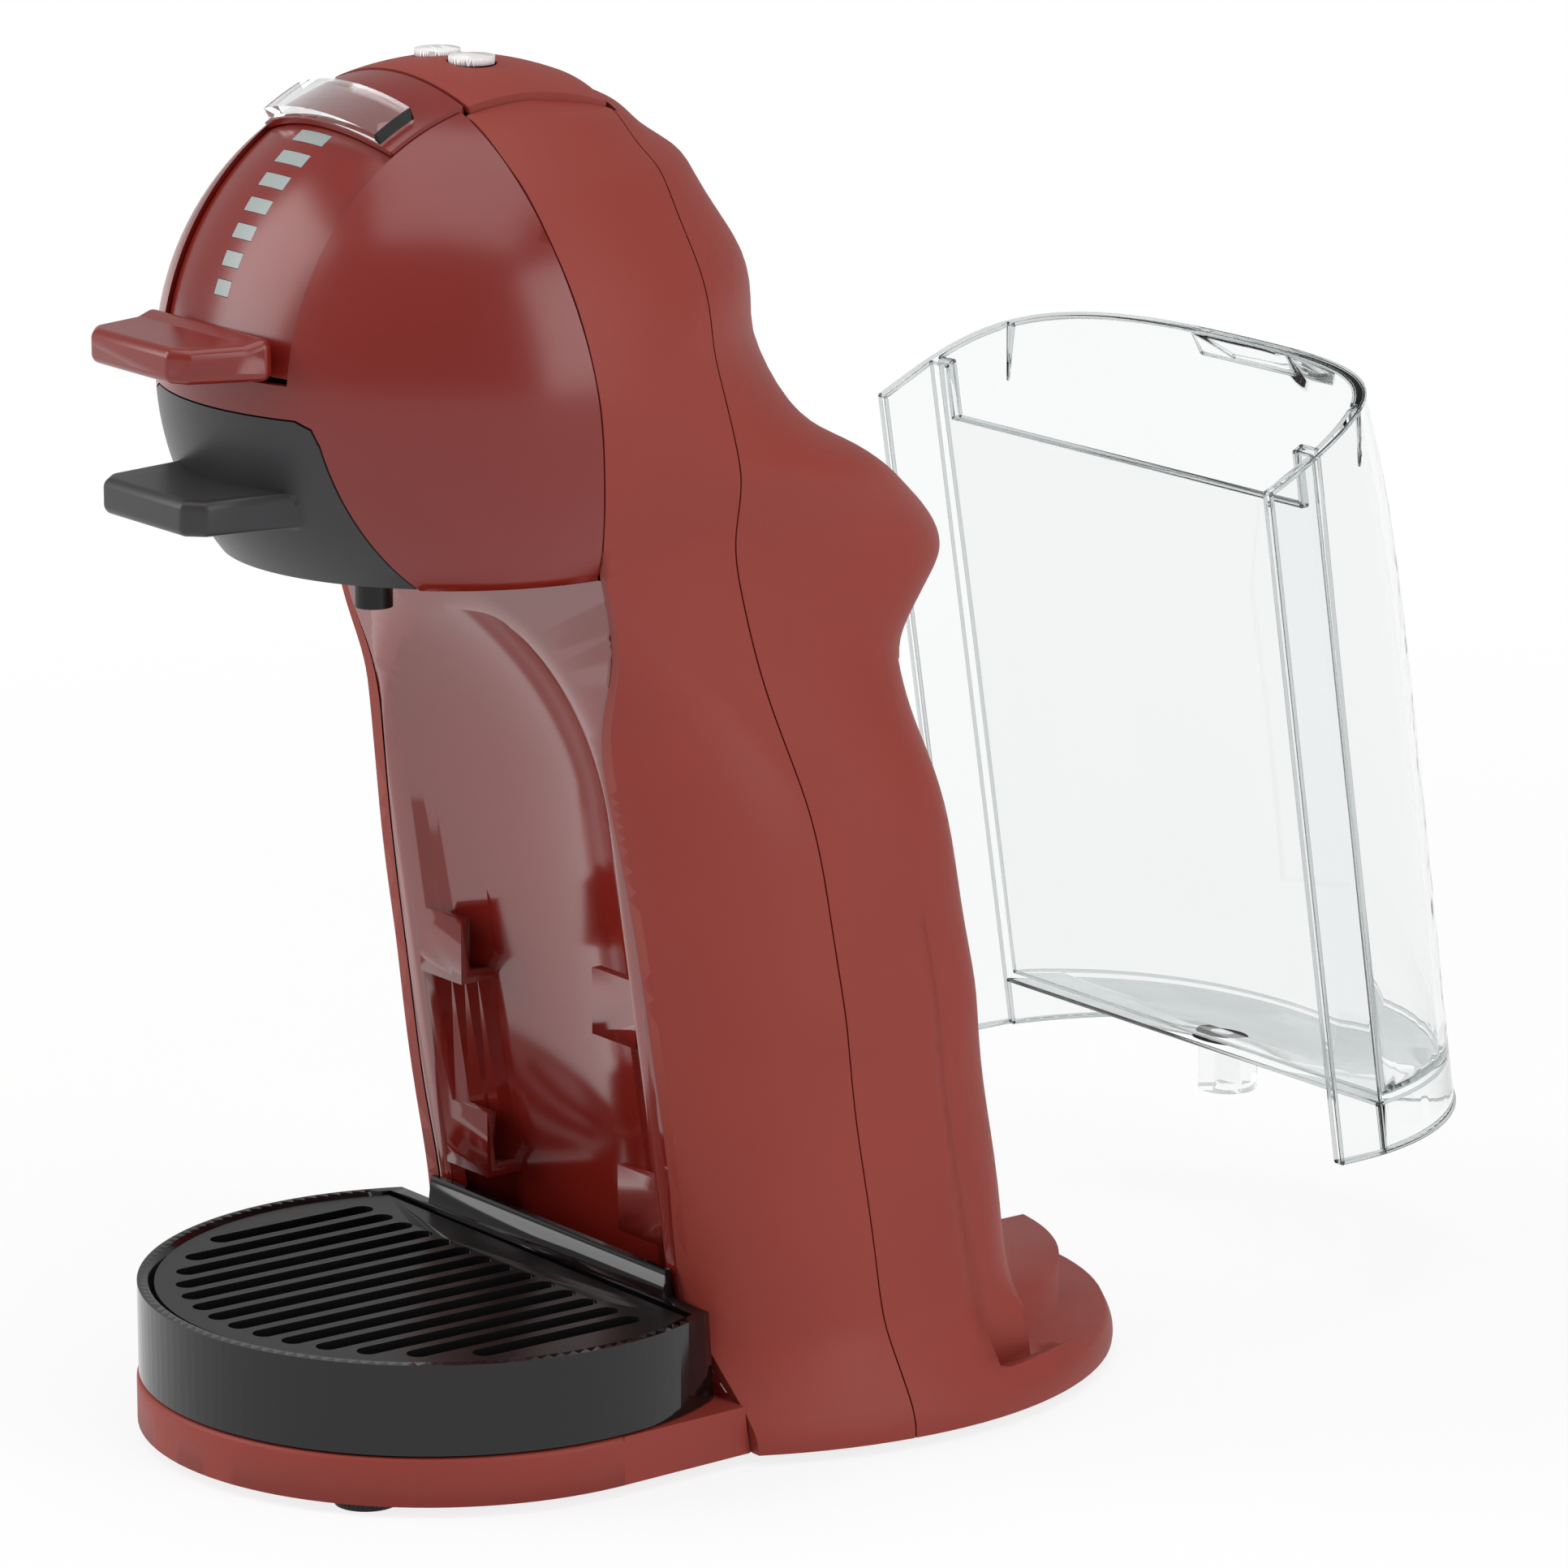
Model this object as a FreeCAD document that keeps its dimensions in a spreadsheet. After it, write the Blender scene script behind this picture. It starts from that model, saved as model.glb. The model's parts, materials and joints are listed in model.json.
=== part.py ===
import FreeCAD, Part
import math
import os
import re

from FreeCAD import Vector

doc = FreeCAD.newDocument("pod_machine")
sheet = doc.addObject("Spreadsheet::Sheet", "Sizes")

# Sizes in mm. Modelling frame: tray centre on x = y = 0, floor at z = 0, the front of the machine towards -y.
SIZES = [
    ("wall", 2.4, "wall of the moulded shells"),
    ("part_gap", 0.4, "gap between neighbouring fixed shells"),
    ("slide_gap", 0.4, "gap beside a moving piece"),
    ("foot_height", 2.5, "underside of the body above the floor"),
    ("foot_radius", 7.0, "rubber foot"),
    ("foot_front_y", -44.0, "front pair of feet"),
    ("foot_rear_y", 128.0, "rear pair of feet"),
    ("foot_front_x", 36.0, "half spacing of the front feet"),
    ("foot_rear_x", 42.0, "half spacing of the rear feet"),
    ("base_radius", 66.8, "front disc of the base"),
    ("base_top", 13.4, "top of the front disc"),
    ("cheek_half", 65.5, "half width of the base where it meets the body"),
    ("plate_thick", 2.4, "floor plate under the body"),
    ("flare_half", 80.0, "half width of the base flare"),
    ("flare_rear", 85.0, "reach of the base flare behind its widest place"),
    ("body_half", 69.2, "half width of the body"),
    ("hump_half", 54.6, "half width at the neck"),
    ("flange_base", 37.4, "y of the front flange at the floor"),
    ("flange_slope", 0.145, "forward lean of the front flange per mm of height"),
    ("rear_slope", 0.153, "forward lean of the rear wall per mm of height"),
    ("notch_top", 170.0, "underside of the hump"),
    ("head_radius", 64.9, "head"),
    ("head_y", 7.5, "centre of the head"),
    ("head_z", 238.2, "centre of the head"),
    ("head_floor", 198.6, "underside of the head"),
    ("floor_thick", 2.0, "underside plate of the head"),
    ("bridge_low", 201.4, "cross web that ties the front frame"),
    ("bridge_back", 22.0, "rear edge of the cross web"),
    ("groove_half", 24.2, "half width of the lever groove"),
    ("lip_high", 243.2, "upper edge of the lip under the beak"),
    ("band_radius", 63.8, "outer radius of the lever band"),
    ("band_thick", 3.0, "lever band"),
    ("band_low", 6.0, "lower end of the band, degrees above level"),
    ("band_high", 62.0, "upper end of the band, degrees above level"),
    ("beak_front", 76.0, "reach of the beak in front of the tray centre"),
    ("beak_tip_half", 18.5, "half width of the beak at its tip"),
    ("beak_root_half", 23.4, "half width of the beak at the band"),
    ("beak_low", 244.2, "underside of the beak"),
    ("beak_high", 252.4, "top of the beak at the band"),
    ("beak_tip_thick", 7.6, "thickness of the beak at its tip"),
    ("arm_inner", 18.6, "inner face of the lever arms"),
    ("arm_thick", 3.2, "lever arm"),
    ("hub_radius", 8.0, "hub of the lever arm"),
    ("pin_radius", 3.0, "pivot pin"),
    ("press_gap", 0.02, "gap of a pressed-in bushing"),
    ("run_gap", 0.05, "running gap of the pivot"),
    ("bush_wall", 1.2, "bushing on the pin"),
    ("strip_radius", 65.7, "outer radius of the upper strip"),
    ("strip_thick", 1.5, "upper strip"),
    ("strip_low", 57.5, "lower end of the upper strip, degrees above level"),
    ("strip_high", 76.4, "upper end of the upper strip, degrees above level"),
    ("cap_radius", 66.0, "outer radius of the top cap"),
    ("cap_thick", 1.8, "top cap"),
    ("cap_low", 76.9, "front end of the top cap, degrees above level"),
    ("cap_high", 111.0, "rear end of the top cap, degrees above level"),
    ("button_x", 6.4, "half spacing of the buttons"),
    ("button_radius", 5.0, "push button"),
    ("button_low", 303.4, "underside of the buttons"),
    ("button_high", 305.0, "top of the buttons"),
    ("window_first", 20.5, "lowest window, degrees above level"),
    ("window_step", 5.7, "pitch of the windows, degrees"),
    ("window_tall", 3.0, "height of one window, degrees"),
    ("window_half", 2.6, "half width of the lowest window"),
    ("window_grow", 0.5, "growth of the half width per window"),
    ("slider_low", 57.6, "lower edge of the slider, degrees above level"),
    ("slider_high", 66.6, "upper edge of the slider, degrees above level"),
    ("slider_half", 21.0, "half width of the slider"),
    ("slider_thick", 2.6, "slider"),
    ("holder_half", 30.8, "half width of the pod holder"),
    ("holder_foot", 37.5, "half width of the pod holder at its underside"),
    ("holder_round", 5.0, "upper corners of the pod holder"),
    ("holder_low", 199.0, "underside of the pod holder"),
    ("holder_high", 235.8, "top of the pod holder"),
    ("cradle_radius", 24.0, "pod cradle"),
    ("cradle_y", -26.0, "axis of the pod cradle"),
    ("cradle_depth", 27.0, "pod cradle"),
    ("handle_half", 19.0, "half width of the pod holder's handle"),
    ("handle_front", 73.5, "reach of the handle in front of the tray centre"),
    ("handle_low", 212.0, "underside of the handle"),
    ("handle_high", 220.0, "top of the handle"),
    ("spout_y", -15.0, "axis of the coffee outlet"),
    ("spout_radius", 4.2, "coffee outlet"),
    ("spout_low", 187.0, "tip of the coffee outlet"),
    ("spout_bore", 1.6, "bore of the coffee outlet"),
    ("panel_low", 5.2, "lower edge of the front panel"),
    ("panel_high", 198.2, "upper edge of the front panel"),
    ("panel_thick", 2.6, "front panel"),
    ("recess_radius", 70.0, "radius of the arched recess"),
    ("recess_depth", 14.0, "depth of the arched recess"),
    ("recess_centre_z", 134.0, "centre of the arch"),
    ("hook_half_gap", 33.0, "half spacing of the hooks"),
    ("hook_wide", 16.0, "hook"),
    ("hook_tall", 15.0, "hook"),
    ("hook_thick", 2.4, "hook"),
    ("edge_round", 2.2, "rounded edges of beak and handle"),
    ("hook_high_z", 98.0, "upper pair of hooks"),
    ("hook_low_z", 52.0, "lower pair of hooks"),
    ("tray_radius", 66.4, "drip tray"),
    ("tray_low", 13.9, "underside of the drip tray"),
    ("tray_high", 34.2, "rim of the drip tray"),
    ("tray_wall", 2.4, "drip tray"),
    ("lip_top", 40.5, "raised rear lip of the tray"),
    ("lip_half", 45.0, "half width of the rear lip"),
    ("grille_radius", 62.6, "drip grille"),
    ("grille_thick", 2.6, "drip grille"),
    ("grille_sink", 0.6, "top of the grille below the tray rim"),
    ("slot_wide", 5.2, "slot in the grille"),
    ("slot_pitch", 7.9, "pitch of the slots"),
    ("slot_rear_y", 17.0, "rear end of the long slots"),
    ("shelf_top", 12.2, "rim of the base round the tank"),
    ("pad_radius", 59.0, "deck under the tank"),
    ("pad_top", 20.6, "deck under the tank"),
    ("tank_radius", 71.0, "outer radius of the tank"),
    ("tank_wall", 2.2, "tank wall"),
    ("tank_shoulder", 28.0, "how far the tank draws in near its rim"),
    ("shoulder_low", 95.0, "where the tank begins to draw in, docked"),
    ("tank_axis_y", 103.3, "axis of the tank at the floor, docked"),
    ("tank_skirt", 11.0, "lower edge of the tank skirt, docked"),
    ("tank_floor", 22.0, "underside of the tank floor, docked"),
    ("tank_front", 12.6, "tank front wall behind the tank axis"),
    ("tank_rim_front", 170.0, "rim at the front corners, docked"),
    ("tank_rim_rear", 190.0, "rim at the rear, docked"),
    ("tank_front_top", 164.0, "top of the tank front wall, docked"),
    ("tank_gap", 1.0, "gap around the docked tank"),
    ("grip_half", 17.0, "half width of the finger grip"),
    ("grip_reach", 17.0, "reach of the finger grip"),
    ("valve_radius", 7.0, "tank nozzle"),
    ("valve_bore", 3.0, "bore of the tank nozzle"),
    ("valve_low", 8.6, "lower face of the tank nozzle, docked"),
    ("valve_y", 125.0, "axis of the tank nozzle, docked"),
    ("tank_drawn_back", 102.0, "how far back the tank stands drawn off"),
    ("tank_lifted", 29.0, "how far up the tank stands drawn off"),
    ("pump_radius", 19.0, "pump body"),
    ("pump_tall", 66.0, "pump body"),
    ("pump_x", -22.0, "axis of the pump"),
    ("pump_y", 71.0, "axis of the pump"),
    ("pump_z", 44.0, "underside of the pump"),
    ("mount_tall", 5.0, "rubber ring of the pump"),
    ("mount_wall", 2.5, "rubber ring of the pump"),
    ("heater_wide", 38.0, "thermoblock"),
    ("heater_deep", 28.0, "thermoblock"),
    ("heater_tall", 70.0, "thermoblock"),
    ("heater_x", 3.0, "left face of the thermoblock"),
    ("heater_y", 58.0, "front face of the thermoblock"),
    ("heater_z", 62.0, "underside of the thermoblock"),
    ("fuse_radius", 3.0, "thermal fuse"),
    ("fuse_tall", 12.0, "thermal fuse"),
    ("meter_radius", 11.0, "flow meter"),
    ("meter_tall", 14.0, "flow meter"),
    ("meter_x", 22.0, "axis of the flow meter"),
    ("meter_y", 72.0, "axis of the flow meter"),
    ("meter_z", 28.0, "underside of the flow meter"),
    ("hose_radius", 3.0, "hose"),
    ("board_thick", 1.6, "circuit board"),
    ("power_deep", 36.0, "power board"),
    ("power_tall", 56.0, "power board"),
    ("power_x", -52.0, "outer face of the power board"),
    ("power_y", 50.0, "front edge of the power board"),
    ("power_z", 66.0, "lower edge of the power board"),
    ("capacitor_radius", 4.0, "capacitor"),
    ("capacitor_tall", 5.5, "capacitor"),
    ("control_wide", 30.0, "control board"),
    ("control_tall", 30.0, "control board"),
    ("control_z", 206.0, "lower edge of the control board"),
    ("frame_half", 17.0, "inner frame of the head"),
    ("frame_thick", 3.0, "inner frame of the head"),
    ("frame_z", 256.0, "top plate of the inner frame"),
    ("frame_front", -38.0, "front end of the top plate"),
    ("frame_back", 40.0, "rear wall of the inner frame"),
    ("frame_low", 200.0, "lower end of the rear wall"),
    ("injector_radius", 15.0, "injector head"),
    ("injector_low", 239.0, "underside of the injector head"),
    ("injector_tall", 7.0, "injector head"),
    ("stem_radius", 5.0, "injector stem"),
    ("stem_high", 272.0, "top of the injector stem"),
    ("needle_radius", 1.2, "injector needle"),
    ("needle_low", 236.2, "tip of the injector needle"),
    ("guide_wall", 2.0, "guide sleeve of the injector"),
    ("guide_tall", 6.0, "guide sleeve of the injector"),
    ("gland_radius", 6.0, "cord gland"),
    ("gland_long", 9.0, "cord gland"),
    ("gland_x", -48.0, "axis of the cord gland"),
    ("gland_z", 30.0, "axis of the cord gland"),
    ("seat_radius", 8.0, "valve seat"),
    ("seal_tall", 0.8, "seal of the valve seat"),
    ("screw_radius", 2.0, "screw shank"),
    ("screw_head", 3.6, "screw head"),
    ("screw_head_tall", 2.0, "screw head"),
    ("screw_long", 10.0, "screw"),
]
for row, (alias, value, note) in enumerate(SIZES, start=1):
    sheet.set("A%d" % row, note)
    sheet.set("B%d" % row, str(value))
    sheet.setAlias("B%d" % row, alias)
doc.recompute()


def size(alias):
    return float(sheet.get(alias))


S = {alias: size(alias) for alias, value, note in SIZES}


def bound(text):
    """Writes every name in an expression as a cell of the sheet."""
    return re.sub(r"[a-z][a-z_]*", lambda m: "Sizes." + m.group(0), text)


def bind(obj, **values):
    for prop, text in values.items():
        obj.setExpression(prop.replace("__", "."), bound(text))


def place(obj, x, y, z):
    bind(obj, Placement__Base__x=x, Placement__Base__y=y, Placement__Base__z=z)
    return obj


def box(name, length, width, height, x, y, z):
    obj = doc.addObject("Part::Box", name)
    bind(obj, Length=length, Width=width, Height=height)
    return place(obj, x, y, z)


def rod(name, radius, height, x, y, z, axis="z"):
    obj = doc.addObject("Part::Cylinder", name)
    bind(obj, Radius=radius, Height=height)
    turn = {"z": (0, 0, 1, 0), "x": (0, 1, 0, 90), "y": (1, 0, 0, -90)}[axis]
    obj.Placement.Rotation = FreeCAD.Rotation(Vector(*turn[:3]), turn[3])
    return place(obj, x, y, z)


def cut(name, base, tool):
    obj = doc.addObject("Part::Cut", name)
    obj.Base = base
    obj.Tool = tool
    return obj


def fuse(name, parts):
    obj = doc.addObject("Part::MultiFuse", name)
    obj.Shapes = parts
    return obj


def group(name, parts):
    obj = doc.addObject("Part::Compound", name)
    obj.Links = parts
    return obj


def form(name, shape):
    obj = doc.addObject("Part::Feature", name)
    obj.Shape = shape
    return obj


def prism(points, half):
    """A side-view outline (y, z) carried across the machine, half to each side."""
    corners = [Vector(-half, y, z) for y, z in points]
    face = Part.Face(Part.makePolygon(corners + corners[:1]))
    return face.extrude(Vector(2 * half, 0, 0))


def curve_prism(points, far_y, half):
    """The zone between a smooth side-view curve and the plane y = far_y."""
    knots = [Vector(-half, y, z) for y, z in points]
    curve = Part.BSplineCurve()
    curve.interpolate(knots)
    low = Vector(-half, far_y, knots[0].z)
    high = Vector(-half, far_y, knots[-1].z)
    edges = [curve.toShape(), Part.makeLine(knots[-1], high), Part.makeLine(high, low), Part.makeLine(low, knots[0])]
    return Part.Face(Part.Wire(edges)).extrude(Vector(2 * half, 0, 0))


def slab(half, low_z, high_z, front=-200.0, back=300.0):
    return Part.makeBox(2 * half, back - front, high_z - low_z, Vector(-half, front, low_z))


WIDE = 130.0
HEAD = Vector(0, S["head_y"], S["head_z"])


def wedge(low, high, half, reach=120.0):
    """The zone between two angles above level, seen from the side, about the head's centre."""
    steps = 6
    points = [(HEAD.y, HEAD.z)]
    for k in range(steps + 1):
        turn = math.radians(low + (high - low) * k / steps)
        points.append((HEAD.y - reach * math.cos(turn), HEAD.z + reach * math.sin(turn)))
    return prism(points, half)


def rounded(shape):
    """The shape with all its edges rounded."""
    return shape.makeFillet(S["edge_round"], shape.Edges)


def ball(radius):
    return Part.makeSphere(radius, HEAD)


def arc_piece(outer, thick, half, low, high):
    """A strip of a ball's skin between two angles."""
    skin = ball(outer).cut(ball(outer - thick))
    return skin.common(wedge(low, high, half))


def flange(z, back=0.0):
    return S["flange_base"] - S["flange_slope"] * z + back


def section(z, half, centre, front, back, front_power, back_power, inset):
    """One level outline of the body, wide at its centre and squarer behind."""
    points = []
    count = 48
    for k in range(count):
        turn = 2 * math.pi * k / count
        c = math.cos(turn)
        s = math.sin(turn)
        power = back_power if s > 0 else front_power
        reach = back if s > 0 else front
        x = math.copysign(abs(c) ** (2.0 / power), c) * (half - inset)
        y = centre + math.copysign(abs(s) ** (2.0 / power), s) * (reach - inset)
        points.append(Vector(x, y, z))
    curve = Part.BSplineCurve()
    curve.interpolate(points, True)
    return Part.Wire(curve.toShape())


def body_form(inset):
    """The outside of body and head as one smooth form, shrunk by the inset."""
    b = S["body_half"]
    n = S["hump_half"]
    r = S["head_radius"]
    low = S["foot_height"]
    hy = S["head_y"]
    rows = [
        (low, S["flare_half"], 85.0, 92.0, S["flare_rear"], 2.0, 2.0),
        (low + 6.0, S["flare_half"] - 0.6, 84.5, 90.5, S["flare_rear"] - 0.6, 2.0, 2.0),
        (low + 13.0, b + 6.6, 79.5, 76.0, 80.0, 2.0, 2.3),
        (low + 21.0, b + 2.2, 72.0, 58.5, 60.0, 2.0, 3.6),
        (32.0, b + 0.4, 68.0, 51.5, 51.0, 2.0, 5.0),
        (60.0, b - 0.2, 65.0, 53.3, 50.0, 2.0, 5.0),
        (85.0, b - 0.1, 62.5, 54.5, 48.0, 2.0, 5.0),
        (110.0, b - 0.2, 60.0, 55.6, 46.5, 2.0, 5.0),
        (130.0, b - 1.4, 57.0, 55.3, 46.5, 2.0, 5.0),
        (145.0, b - 3.7, 53.0, 53.0, 47.5, 2.0, 5.0),
        (158.0, n + 6.8, 46.5, 49.0, 50.5, 2.0, 5.0),
        (168.0, n + 3.6, 38.5, 46.0, 58.0, 2.0, 5.0),
        (178.0, n + 1.4, 28.0, 45.0, 73.5, 2.0, 5.0),
        (190.0, n, 17.5, 47.0, 96.0, 2.0, 4.6),
        (200.0, n + 0.2, 9.5, 51.5, 101.0, 2.0, 4.4),
    ]
    for z, back, power in ((208.0, 94.0, 4.4), (215.0, 84.0, 4.2), (222.5, 72.0, 3.2), (231.0, 67.0, 2.4)):
        girth = math.sqrt(r * r - (z - S["head_z"]) ** 2)
        rows.append((z, girth, hy, girth, back, 2.0, power))
    wires = [section(z, a, c, f, k, p, q, inset) for z, a, c, f, k, p, q in rows]
    for turn in (2.0, 14.0, 26.0, 37.0, 47.0, 55.0, 62.0, 68.0):
        z = S["head_z"] + (r - inset) * math.sin(math.radians(turn))
        girth = (r - inset) * math.cos(math.radians(turn))
        wires.append(section(z, girth, hy, girth, girth, 2.0, 2.0, 0.0))
    if inset > 0:
        wires.insert(0, section(low - 4.0, S["flare_half"], 85.0, 92.0, S["flare_rear"], 2.0, 2.0, inset))
    return Part.makeLoft(wires, True, False)


# Curves of the two seams, seen from the side.
def seam_front(back):
    knots = [(flange(z, back), z) for z in (-8.0, 60.0, 120.0, 170.0, 190.0)]
    knots += [(5.8 + back, 204.0), (1.4 + back, 222.0), (-1.0 + back, 240.0), (-4.4 + back, 264.0)]
    knots += [(-6.6 + back, 284.0), (-7.4 + back, 315.0)]
    return knots


def seam_rear(back):
    knots = [(72.0, -8.0), (70.0, 30.0), (64.0, 70.0), (58.0, 110.0), (52.6, 145.0), (47.5, 170.0)]
    knots += [(41.5, 200.0), (37.5, 220.0), (34.0, 240.0), (31.8, 262.0), (31.0, 315.0)]
    return [(y + back, z) for y, z in knots]


half_gap = S["part_gap"] / 2
front_zone = curve_prism(seam_front(-half_gap), -250.0, WIDE)
behind_front = curve_prism(seam_front(half_gap), 350.0, WIDE)
before_rear = curve_prism(seam_rear(-half_gap), -250.0, WIDE)
rear_zone = curve_prism(seam_rear(half_gap), 350.0, WIDE)

outer = body_form(0.0)
inner = body_form(S["wall"])
room = body_form(S["wall"] + S["part_gap"])


# The docked tank's room at the back, as a level outline carried up along the lean.
def tank_outline(z, radius, wing, front, half):
    axis = S["tank_axis_y"] - S["rear_slope"] * z
    right = Vector(radius, axis, z)
    left = Vector(-radius, axis, z)
    rear_point = Vector(0, axis + radius, z)
    edges = [Part.Arc(right, rear_point, left).toShape()]
    corners = [left, Vector(-radius, axis - wing, z), Vector(-half, axis - wing, z), Vector(-half, axis + front, z)]
    corners += [Vector(half, axis + front, z), Vector(half, axis - wing, z), Vector(radius, axis - wing, z), right]
    for a, b in zip(corners, corners[1:]):
        edges.append(Part.makeLine(a, b))
    return Part.Face(Part.Wire(edges))


def lean(face, rise):
    return face.extrude(Vector(0, -S["rear_slope"] * rise, rise))


def disc_outline(z, radius, front):
    """A round tank outline cut straight across at the front."""
    axis = S["tank_axis_y"] - S["rear_slope"] * z
    reach = math.sqrt(radius * radius - front * front)
    right = Vector(reach, axis + front, z)
    left = Vector(-reach, axis + front, z)
    arc = Part.Arc(right, Vector(0, axis + radius, z), left).toShape()
    return Part.Face(Part.Wire([arc, Part.makeLine(left, right)]))


bay_low = S["tank_skirt"] - S["tank_gap"]
bay_half = S["tank_radius"] - S["tank_wall"] - S["tank_gap"]
bay_front = S["tank_front"] - S["tank_gap"]
bay_face = tank_outline(bay_low, S["tank_radius"] + S["tank_gap"], 2.0 + S["tank_gap"], bay_front, bay_half)
shelf_face = tank_outline(S["shelf_top"], 2 * S["tank_radius"], 2.0 + S["tank_gap"], bay_front, bay_half)
bay = lean(bay_face, S["notch_top"] - bay_low).fuse(lean(shelf_face, S["notch_top"] - S["shelf_top"]))
bay_wide_face = tank_outline(
    bay_low - S["wall"],
    2 * S["tank_radius"],
    2.0 + S["tank_gap"] + S["wall"],
    bay_front - S["wall"],
    bay_half - S["wall"],
)
bay_wide = lean(bay_wide_face, S["notch_top"] - bay_low + 2 * S["wall"])
pad_axis = S["tank_axis_y"] - S["rear_slope"] * S["pad_top"]
pad_front = pad_axis - 2.0
pad_low = S["foot_height"] + S["plate_thick"] + S["part_gap"]


def pad_form(radius, low, high):
    disc = Part.makeCylinder(radius, high - low, Vector(0, pad_axis, low))
    return disc.common(Part.makeBox(200, 200, 80, Vector(-100, pad_front, -10)))


channel_half = S["valve_radius"] + S["slide_gap"] + 1.0
channel_low = S["valve_low"] - S["slide_gap"]
channel_front = S["valve_y"] - channel_half
rise_rate = S["tank_lifted"] / S["tank_drawn_back"]
channel_flat = S["valve_y"] + S["valve_radius"]
channel_end = channel_flat + 60.0
channel = prism(
    [
        (channel_front, channel_low),
        (channel_flat, channel_low),
        (channel_end, channel_low + rise_rate * (channel_end - channel_flat)),
        (channel_end, 60.0),
        (channel_front, 60.0),
    ],
    channel_half,
)
top_slot_half = S["groove_half"] + 1.2
top_slot = slab(top_slot_half, S["head_z"] + 20.0, 330.0, -100.0, S["head_y"] + 24.6)

# Shells of body and head.
skin = outer.cut(inner)
bridge = inner.common(slab(WIDE, S["bridge_low"], S["bridge_low"] + S["wall"], -100.0, S["bridge_back"]))
hoop = skin.fuse(bridge).common(behind_front).common(before_rear).cut(top_slot)
front_shell = form("front_shell", hoop)

void = inner.cut(bay_wide)
rear_solid = outer.common(rear_zone)
deck = pad_form(S["pad_radius"], pad_low, S["pad_top"])
deck_void = pad_form(S["pad_radius"] - S["wall"], -5.0, S["pad_top"] - S["wall"])
channel_wall = prism(
    [
        (channel_front - S["wall"], -5.0),
        (channel_end, -5.0),
        (channel_end, 60.0),
        (channel_front - S["wall"], 60.0),
    ],
    channel_half + S["wall"],
).common(slab(WIDE, pad_low, S["pad_top"]))
rear_body = rear_solid.cut(bay).cut(void).fuse(deck.cut(deck_void)).fuse(deck.common(channel_wall))
gland_hole = Part.makeCylinder(
    S["gland_radius"] + 0.05, 60.0, Vector(S["gland_x"], 80.0, S["gland_z"]), Vector(0, 1, 0)
)
rear_body = rear_body.cut(channel).cut(top_slot).cut(gland_hole)
rear_body = rear_body.cut(slab(WIDE, -20.0, S["foot_height"]))
rear_shell = form("rear_shell", max(rear_body.Solids, key=lambda s: s.Volume))

# Glossy head front with the groove for the lever and the mouth for the pod holder.
cheeks = ball(S["head_radius"]).cut(ball(S["head_radius"] - S["wall"]))
head_floor = ball(S["head_radius"]).common(slab(WIDE, S["head_floor"], S["head_floor"] + S["floor_thick"]))
dome = cheeks.fuse(head_floor).common(front_zone).common(slab(WIDE, S["head_floor"], 330.0))
groove = slab(S["groove_half"], S["lip_high"], 330.0, -120.0, 30.0)
holder_back = S["head_y"] - S["hub_radius"] - S["slide_gap"]


def drawer_zone(gap):
    """The pod holder's front outline, wider below, carried back along its slide."""
    top = S["holder_high"] + gap
    low = S["head_floor"] - 5.0
    half = S["holder_half"] + gap
    foot = S["holder_foot"] + gap
    r = S["holder_round"]
    corners = [(-foot, low), (foot, low), (half, top - r), (half - 0.3 * r, top - 0.3 * r), (half - r, top)]
    corners += [(-half + r, top), (-half + 0.3 * r, top - 0.3 * r), (-half, top - r)]
    points = [Vector(x, -120.0, z) for x, z in corners]
    face = Part.Face(Part.makePolygon(points + points[:1]))
    return face.extrude(Vector(0, 120.0 + holder_back + gap, 0))


mouth = drawer_zone(S["slide_gap"])
head_dome = form("head_dome", dome.cut(groove).cut(mouth))

# Lever: curved band with windows, beak and two arms on the pivot.
band_half = S["groove_half"] - S["slide_gap"]
band = arc_piece(S["band_radius"], S["band_thick"], band_half, S["band_low"], S["band_high"])
root_y = S["head_y"] - S["band_radius"] + 2.0
plan = [
    Vector(-S["beak_root_half"], root_y, 0),
    Vector(-S["beak_tip_half"], -S["beak_front"] + 3.0, 0),
    Vector(-S["beak_tip_half"] + 4.0, -S["beak_front"], 0),
    Vector(S["beak_tip_half"] - 4.0, -S["beak_front"], 0),
    Vector(S["beak_tip_half"], -S["beak_front"] + 3.0, 0),
    Vector(S["beak_root_half"], root_y, 0),
]
plan_block = Part.Face(Part.makePolygon(plan + plan[:1])).extrude(Vector(0, 0, 330.0))
tip_low = S["beak_low"] + 0.6
beak_side = prism(
    [
        (root_y, S["beak_low"]),
        (-S["beak_front"], tip_low),
        (-S["beak_front"], tip_low + S["beak_tip_thick"]),
        (root_y - 6.0, S["beak_high"]),
        (root_y, S["beak_high"] + 1.6),
    ],
    WIDE,
)
beak = rounded(plan_block.common(beak_side).cut(slab(WIDE, 0.0, 400.0, root_y - 0.01, 50.0)))


def lever_arm(side):
    left = side * S["arm_inner"] if side > 0 else -S["arm_inner"] - S["arm_thick"]
    slice_box = Part.makeBox(S["arm_thick"], 400, 400, Vector(left, -200, 100))
    spoke = wedge(26.0, 46.0, WIDE).common(ball(S["band_radius"] - 1.0)).common(slice_box)
    hub = Part.makeCylinder(S["hub_radius"], S["arm_thick"], Vector(left, HEAD.y, HEAD.z), Vector(1, 0, 0))
    bore = S["pin_radius"] + S["bush_wall"] + S["press_gap"]
    hole = Part.makeCylinder(bore, S["arm_thick"], Vector(left, HEAD.y, HEAD.z), Vector(1, 0, 0))
    return spoke.fuse(hub).cut(hole)


def window_zone(index, grow):
    half = S["window_half"] + S["window_grow"] * index + grow
    turn = S["window_first"] + S["window_step"] * index
    spread = S["window_tall"] / 2 + grow
    return wedge(turn - spread, turn + spread, half)


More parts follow.
